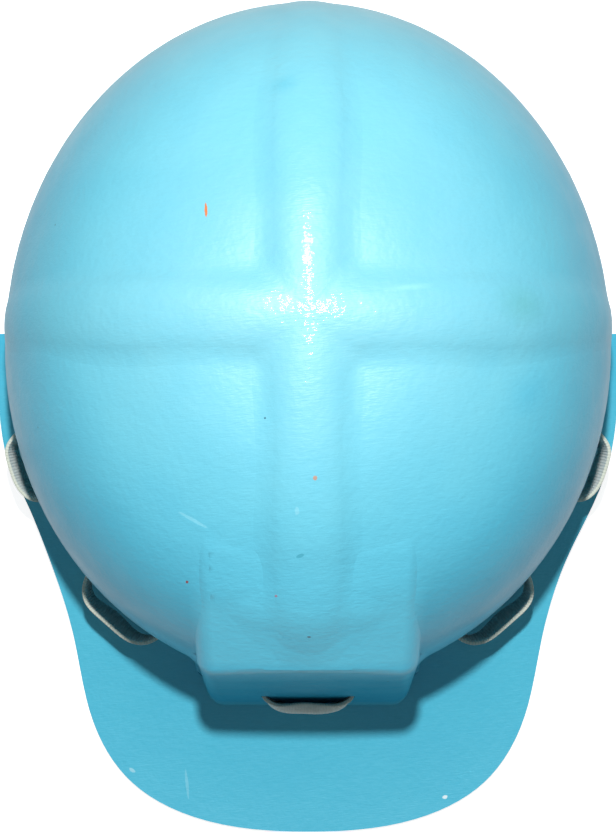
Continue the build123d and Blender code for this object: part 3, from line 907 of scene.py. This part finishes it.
lace_radius = 0.0015
strap_side = 0.0082
lace_points = []
for turn in sorted(direction for reach, direction in strap_holds):
    radial = Vector((math.sin(turn), -math.cos(turn), 0))
    beside = Vector((math.cos(turn), math.sin(turn), 0))
    for shift in (-strap_side, strap_side):
        lace_points.append(cradle_middle + radial * lace_ring + beside * shift + Vector((0, 0, lace_height)))
knot = cradle_middle + Vector((0, lace_ring * 1.02, lace_height - 0.0006))
knot_in = [(0.013, 0.006, -0.003), (0.006, 0.0035, 0.0), (0, 0.0022, 0.0012), (-0.0032, 0.0002, 0.0),
           (-0.008, -0.0012, 0)]
knot_out = [(0.008, -0.0012, 0), (0.0032, 0.0002, 0.0), (0, -0.0024, -0.0014), (-0.0032, 0.0012, 0.0006),
            (-0.006, 0.0035, 0.0), (-0.014, 0.007, -0.003)]
first_end, last_end = [[knot + Vector(offset) for offset in offsets] for offsets in (knot_in, knot_out)]
lace = tube(first_end + lace_points + last_end, lace_radius)
make_piece("braided_crown_lace", lace, cord_cotton, "crown_lace", 60)

# %% [markdown]
# ## Crown pad
# A disc of felt lies between the laced loops and the head. Its section is spun
# into a disc with a soft rim and a sewn groove near it, then subdivided.

# %% Crown pad
pad_middle_y = 0.024
groove = 0.039
felt, paint = finish("grey_felt")
place = place_on()
fuzz = noise(place, 700, 4, 0.7)
colour = blend(mottled(place, 60), (0.16, 0.145, 0.12), (0.26, 0.24, 0.205))
colour = blend(span(fuzz, 0.5, 0.75, 0, 0.45), colour, (0.42, 0.40, 0.35))
from_centre = far_from(place_on((0, pad_middle_y, 0), scale=(1, 1, 1000)))
round_pad = maths("ARCTAN2", *parts_of(place_on((0, pad_middle_y, 0)))[:2])
seam = stitches(times(round_pad, groove), from_centre, groove, 0.0036, 0.0006)
dress(paint, {
    "Base Color": blend(seam, colour, (0.62, 0.58, 0.48)),
    "Roughness": 1.0,
    "Specular IOR Level": 0.1,
    "Sheen Weight": 0.4,
    "Sheen Roughness": 0.6,
    "Normal": relief(seam, 0.0006, 0.8, relief(fuzz, 0.0008, 0.7)),
})

pad_low, pad_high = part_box("crown_pad")
pad_radius = (pad_high.x - pad_low.x) / 2
below_pad = [(0, 0), (0.020, 0.0001), (0.036, 0.0003), (groove, 0.0009), (0.0415, 0.0004),
             (pad_radius - 0.0006, 0.0012), (pad_radius, 0.002)]
above_pad = [(pad_radius - 0.0006, 0.0008), (0.0415, 0.0001), (groove, 0.0006), (0.036, 0.0001), (0.020, 0), (0, 0)]
section = [(reach, pad_low.z + rise) for reach, rise in below_pad]
section += [(reach, pad_high.z - fall) for reach, fall in above_pad]
pad = bmesh.new()
corners = [pad.verts.new((reach, pad_middle_y, height)) for reach, height in section]
for pair in zip(corners, corners[1:]):
    pad.edges.new(pair)
bmesh.ops.spin(pad, geom=pad.verts[:] + pad.edges[:], cent=(0, pad_middle_y, 0), axis=(0, 0, 1),
               angle=2 * math.pi, steps=72, use_merge=True)
bmesh.ops.remove_doubles(pad, verts=pad.verts, dist=1e-6)
bmesh.ops.subdivide_edges(pad, edges=pad.edges, cuts=1, smooth=0.4, use_grid_fill=True)
pad_piece = make_piece("felt_crown_pad", pad, felt, "crown_pad", 60)

# %% [markdown]
# ## Leather
# The headband, its hangers and the rear adjuster are strap leather; the
# sweatband is softer and paler. Their shapes are right in the CAD, but cut
# leather has rounded, worn edges. A merged copy of each node gets them, with
# the measures that its stitching reads.


# %% Leather finishes
def leather_finish(name, dark, light, half_width, row, pitch=0.0034):
    """Grained leather, worn at its edges, with a row of stitches beside each."""
    material, paint = finish(name)
    place = place_on()
    off_middle = size_of(measure("across"))
    creases = noise(place, 240, 5, 0.65)
    seam = stitches(measure("along"), off_middle, row, pitch, 0.00055)
    worn = times(span(off_middle, half_width - 0.0016, half_width, 0, 0.7), span(noise(place, 130, 3), 0.35, 0.6))
    colour = blend(mottled(place, 32), dark, light)
    colour = blend(span(creases, 0.32, 0.5, 0.55, 0), colour, [0.4 * part for part in dark])
    colour = blend(worn, colour, [1.7 * part for part in light])
    bumps = relief(cells(place, 950)[0], 0.00022, 0.7)
    bumps = relief(creases, 0.0005, 0.5, bumps)
    dress(paint, {
        "Base Color": blend(seam, colour, (0.50, 0.43, 0.30)),
        "Roughness": span(creases, 0.3, 0.7, 0.62, 0.45),
        "Specular IOR Level": 0.4,
        "Normal": relief(seam, 0.0007, 0.8, bumps),
    })
    return material


band_leather = leather_finish(
    "brown_band_leather", (0.085, 0.040, 0.018), (0.170, 0.085, 0.040), 0.015, 0.0127)
strap_leather = leather_finish(
    "brown_strap_leather", (0.070, 0.032, 0.014), (0.145, 0.070, 0.032), 0.0075, 0.0058)
keeper_leather = leather_finish(
    "dark_keeper_leather", (0.050, 0.022, 0.010), (0.105, 0.048, 0.022), 0.0092, 0.02)
sweat_leather = leather_finish(
    "soft_sweatband_leather", (0.190, 0.110, 0.055), (0.300, 0.190, 0.105), 0.015, 0.0120, 0.0042)
print("leathers", band_leather.name, sweat_leather.name)

# %% [markdown]
# ## Bands and straps
# Facets that lie in one plane are first joined, so the bevel has clean edges
# to round. The sweatband is also sliced level by level and swollen a little
# towards the head, as soft leather over a stitched fold is.

# %% Bands and straps
head_middle_y = 0.023
head_radius = 0.09


def softened(node, offset, levels=()):
    """A merged copy of a CAD node with rounded edges, sliced at levels, with its own measures."""
    work = merged_copy(node)
    along, across = measures(work, "along", "across")
    bmesh.ops.dissolve_limit(work, angle_limit=0.004, verts=work.verts, edges=work.edges)
    round_edges(work, offset, 0.9, clamp=True)
    for level in levels:
        everything = work.verts[:] + work.edges[:] + work.faces[:]
        bmesh.ops.bisect_plane(work, geom=everything, plane_co=(0, 0, level), plane_no=(0, 0, 1))
    low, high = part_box(node)
    for corner in work.verts:
        corner[along] = math.atan2(corner.co.x, -(corner.co.y - head_middle_y)) * head_radius
        corner[across] = corner.co.z - (low.z + high.z) / 2
    return work


make_piece("leather_headband", softened("headband", 0.0004), band_leather, "headband")
for name, node, leather in (
        ("leather_hangers", "headband_hangers", strap_leather), ("leather_chape", "buckle_chape", strap_leather),
        ("leather_nape_strap", "nape_strap", strap_leather), ("leather_keeper", "strap_keeper", keeper_leather)):
    make_piece(name, softened(node, 0.0003), leather, node)

inner_reach_x = 0.079
inner_reach_y = 0.099
inner_side = 1.012
swell = 0.0013
band_low, band_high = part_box("sweatband")
band_height = band_high.z - band_low.z
levels = [band_low.z + band_height * share for share in (0.08, 0.16, 0.3, 0.5, 0.7, 0.84, 0.92)]
soft_band = softened("sweatband", 0.0006, levels)
for corner in soft_band.verts:
    out = Vector((corner.co.x, corner.co.y - head_middle_y, 0))
    if Vector((out.x / inner_reach_x, out.y / inner_reach_y, 0)).length < inner_side:
        share = (corner.co.z - band_low.z) / band_height
        corner.co -= out.normalized() * (swell * math.sin(math.pi * share) ** 0.7)
make_piece("leather_sweatband", soft_band, sweat_leather, "sweatband")

# %% [markdown]
# ## Buckle steel
# The frame and prong are bent from plated wire. Their CAD shapes stay, and
# only their finish is new: a brushed metal with dull spots where the plating
# has worn, and a little rust in them.

# %% Buckle steel
steel, paint = finish("plated_buckle_steel")
place = place_on()
worn = span(noise(place, 420, 4, 0.65), 0.5, 0.66)
rust = span(noise(place, 900, 4, 0.7), 0.64, 0.72, 0, 0.8)
plated = blend(worn, (0.62, 0.61, 0.58), (0.34, 0.30, 0.26))
dress(paint, {
    "Base Color": blend(rust, plated, (0.22, 0.09, 0.035)),
    "Metallic": maths("SUBTRACT", 1, rust),
    "Roughness": scaled(worn, 0.25, 0.28),
    "Normal": relief(noise(place, 1500, 3), 0.00008, 0.6),
})
for node in ("buckle_frame", "buckle_prong"):
    cover(node, steel)
print("steel on frame and prong")

# %% [markdown]
# ## Extra enamel
# On the real shell the enamel and the laminate run in a soft hollow from the
# dome to the boss, because laminate can't turn a sharp inner corner. The CAD
# shell meets there in creases, so three thin overlays fill them. They wear the
# shell's enamel, with its bare places switched off.

# %% Extra enamel
overlay_enamel = enamel.copy()
overlay_enamel.name = "sky_blue_enamel_overlay"
take(overlay_enamel.node_tree)
never_bare = tree.nodes["bare"]
for link in list(tree.links):
    if link.to_node == never_bare:
        tree.links.remove(link)
for socket in never_bare.inputs:
    socket.default_value = 0


def overlay(name, work):
    """A piece of enamel that lies on the shell."""
    made = object_of(name, work, overlay_enamel)
    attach(made, "helmet")


def nearest(point):
    """The shell's nearest point and its normal."""
    return nodes["shell"].closest_point_on_mesh(point)[1:3]


print("overlay enamel", overlay_enamel.name)

# %% [markdown]
# ## Boss roots
# The concave edges on each side of the boss are collected and evened out level
# by level. A strip is drawn from the dome to the boss in rows that follow a
# curve tangent to both, a hair under the enamel at each rim. It grows narrow
# towards its upper end, and its rims are smoothed and put back on the shell.

# %% Boss roots
crease_sharper = -0.25
crease_back = -0.035
crease_foot = 0.008
boss_side = (0.027, 0.047)
root_reach = 0.0095
root_rows = 9
root_foot = 0.015
root_head = 0.078
root_end = 0.003
root_step = 0.0012
taper_length = 0.016
narrowest = 0.12
under_skin = 0.00015
window = 9
kernel = np.array([1, 2, 3, 2, 1]) / 9


def crease_rows(work, side):
    """Places and both normals of the crease on one side of the boss, from its head to its foot."""
    found = []
    for edge in work.edges:
        spot = (edge.verts[0].co + edge.verts[1].co) / 2
        beside_boss = boss_side[0] < side * spot.x < boss_side[1] and spot.y < crease_back and spot.z > crease_foot
        if beside_boss and len(edge.link_faces) == 2 and edge.calc_face_angle_signed(0) < crease_sharper:
            normals = sorted((face.normal for face in edge.link_faces), key=lambda normal: side * normal.x)
            found.append((*spot, *normals[0], *normals[1]))
    found = np.array(sorted(found, key=lambda row: -row[2])[::-1])
    levels = np.arange(min(found[-1, 2], root_head), root_end, -root_step)
    rows = np.stack([np.interp(levels, found[:, 2], column) for column in found.T], axis=1)
    rows[:, 2] = levels
    padded = np.pad(rows, ((2, 2), (0, 0)), mode="edge")
    return sum(kernel[k] * padded[k:k + len(rows)] for k in range(len(kernel)))


def rim_offsets(rows):
    """From each crease point, the ways to the strip's rim on the dome and on the boss, evened out."""
    rims = []
    for number, row in enumerate(rows):
        crease, dome_normal, boss_normal = Vector(row[:3]), Vector(row[3:6]).normalized(), Vector(row[6:]).normalized()
        share = min(1.0, number * root_step / taper_length)
        reach = root_reach * (narrowest + (1 - narrowest) * share * share * (3 - 2 * share))
        if crease.z > root_foot:
            ends = [nearest(crease + normal * reach)[0] for normal in (boss_normal, dome_normal)]
            offsets = [*(ends[0] - crease), *(ends[1] - crease)]
        rims.append(offsets)
    rims = np.pad(np.array(rims), ((window - 1, window - 1), (0, 0)), mode="edge")
    for smoothing in (np.median, np.mean):
        rims = np.stack([smoothing(rims[k:k + window], axis=0) for k in range(len(rims) - window + 1)])
    return rims


shell_copy = merged_copy("shell")
for side, name in ((-1, "boss_root_right"), (1, "boss_root_left")):
    rows_at = crease_rows(shell_copy, side)
    curves = []
    for row, offsets in zip(rows_at, rim_offsets(rows_at)):
        crease = Vector(row[:3])
        ends = [crease + Vector(offsets[:3]), crease + Vector(offsets[3:])]
        if crease.z > root_foot:
            ends = [place - normal * under_skin for place, normal in map(nearest, ends)]
        curves.append((ends[0], crease, ends[1]))
    root = bmesh.new()
    station = root.verts.layers.int.new("station")
    start = [root.verts.new(curve[0]) for curve in curves]
    for number, corner in enumerate(start):
        corner[station] = number
    run = [root.edges.new(pair) for pair in zip(start, start[1:])]
    for step in range(1, root_rows + 1):
        share = step / root_rows

        def across_root(corner):
            first, middle_point, last = curves[corner[station]]
            corner.co = first * (1 - share) ** 2 + middle_point * (2 * share * (1 - share)) + last * share ** 2
        run = draw_out(root, run, across_root)
    bmesh.ops.recalc_face_normals(root, faces=root.faces)
    if sum(face.normal.x * side for face in root.faces) < 0:
        bmesh.ops.reverse_faces(root, faces=root.faces)
    overlay(name, root)
shell_copy.free()

# %% [markdown]
# ## Shelf skin
# The boss's shelf runs smoothly out of the dome. Heights above the shelf's slope
# are read off the shell on a fine grid, and a large wheel is rolled along each
# front-to-back line. Raised by it and then lowered by it, a line keeps its
# crests, and its valley is filled to the wheel's radius. Only the filled part
# is kept, as a thin skin.

# %% Shelf skin
wheel = 0.070
wheel_steps = 40
grid_step = 0.001
skin_half_width = 0.034
skin_back = -0.010
skin_front = -0.092
shelf_end = -0.0772
shelf_start = -0.045
shelf_slope = 0.95
least_fill = 2e-5
skin_lift = 0.00003
edge_drop = 0.00005
across_count = round(2 * skin_half_width / grid_step)
along_count = round((skin_back - skin_front) / grid_step)
skin = bmesh.new()
size = Matrix.Diagonal((2 * skin_half_width, skin_back - skin_front, 1, 1))
centre = Matrix.Translation((0, (skin_back + skin_front) / 2, 0))
bmesh.ops.create_grid(skin, x_segments=across_count, y_segments=along_count, size=0.5, matrix=centre @ size)
heights = np.zeros((along_count + 1, across_count + 1))
spots = {}
for corner in skin.verts:
    column = round((corner.co.x + skin_half_width) / grid_step)
    row = round((corner.co.y - skin_front) / grid_step)
    place = nodes["shell"].ray_cast(Vector((corner.co.x, corner.co.y, 0.2)), Vector((0, 0, -1)))[1]
    heights[row, column] = place.z - shelf_slope * corner.co.y
    spots[corner] = row, column


def rolled(field, sign):
    """The field raised by a wheel that rolls along it (sign 1), or lowered by it (sign -1)."""
    padded = np.pad(field, ((wheel_steps, wheel_steps), (0, 0)), mode="reflect", reflect_type="odd")
    moved = []
    for shift in range(-wheel_steps, wheel_steps + 1):
        fall = -(shift * grid_step) ** 2 / (2 * wheel)
        moved.append(padded[wheel_steps + shift:wheel_steps + shift + len(field)] + sign * fall)
    return np.max(moved, axis=0) if sign > 0 else np.min(moved, axis=0)


fill = rolled(rolled(heights, 1), -1) - heights
for turn in range(3):
    wide = np.pad(fill, 1, mode="edge")
    fill = (wide[:-2, 1:-1] + wide[2:, 1:-1] + wide[1:-1, :-2] + wide[1:-1, 2:] + 4 * fill) / 8
dropped = []
for corner, spot in spots.items():
    if not (shelf_end < corner.co.y < shelf_start and fill[spot] > least_fill):
        dropped.append(corner)
    corner.co.z = heights[spot] + shelf_slope * corner.co.y + fill[spot] + skin_lift
print("kept", len(spots) - len(dropped), "of", len(spots))
bmesh.ops.delete(skin, geom=dropped, context="VERTS")
for corner in skin.verts:
    if corner.is_boundary:
        corner.co.z -= edge_drop
overlay("boss_shelf_skin", skin)

# %% [markdown]
# ## Small corrections of outline
# The real brim narrows towards the peak alike on both sides. On the CAD shell
# one side, the left one in the picture, keeps its full width too far forward
# and ends in a small step. A modifier draws that stretch back to the curve of
# the other side. A second one cuts the buckle prong's tip off by a fifth of a
# millimetre, so that the prong clears the shell's facets when it swings fully
# out. The CAD meshes under both stay as they are.


# %% Outline corrections
def mover(name, node):
    """Puts a modifier on a CAD node that moves its points, and returns the moving node and their place."""
    group = bpy.data.node_groups.new(name, "GeometryNodeTree")
    group.interface.new_socket("Geometry", in_out="INPUT", socket_type="NodeSocketGeometry")
    group.interface.new_socket("Geometry", in_out="OUTPUT", socket_type="NodeSocketGeometry")
    take(group)
    moved = add("GeometryNodeSetPosition", (add("NodeGroupInput"),))
    feed(group.nodes.new("NodeGroupOutput").inputs[0], moved)
    nodes[node].modifiers.new(name, "NODES").node_group = group
    return moved.node, parts_of(add("GeometryNodeInputPosition"))


brim_edge = 0.1127
narrowing_from = 16.0
narrowing_power = 2.3
narrowing_rate = 1.364e-6
move, (x, y, z) = mover("brim_outline", "shell")
short_of = any_of(scaled(y, -1000, narrowing_from), 0.0)
limit = scaled(maths("POWER", short_of, narrowing_power), narrowing_rate, -brim_edge)
dress(move, {
    "Selection": all_of(below(x, -0.100), above(y, -0.022), below(z, 0.016)),
    "Position": add("ShaderNodeCombineXYZ", (any_of(x, limit), y, z)),
})

tip_limit = 0.1369
move, (x, y, z) = mover("prong_tip", "buckle_prong")
dress(move, {"Position": add("ShaderNodeCombineXYZ", (x, maths("MINIMUM", y, tip_limit), z))})
print("outline corrections", [len(nodes[name].modifiers) for name in ("shell", "buckle_prong")])
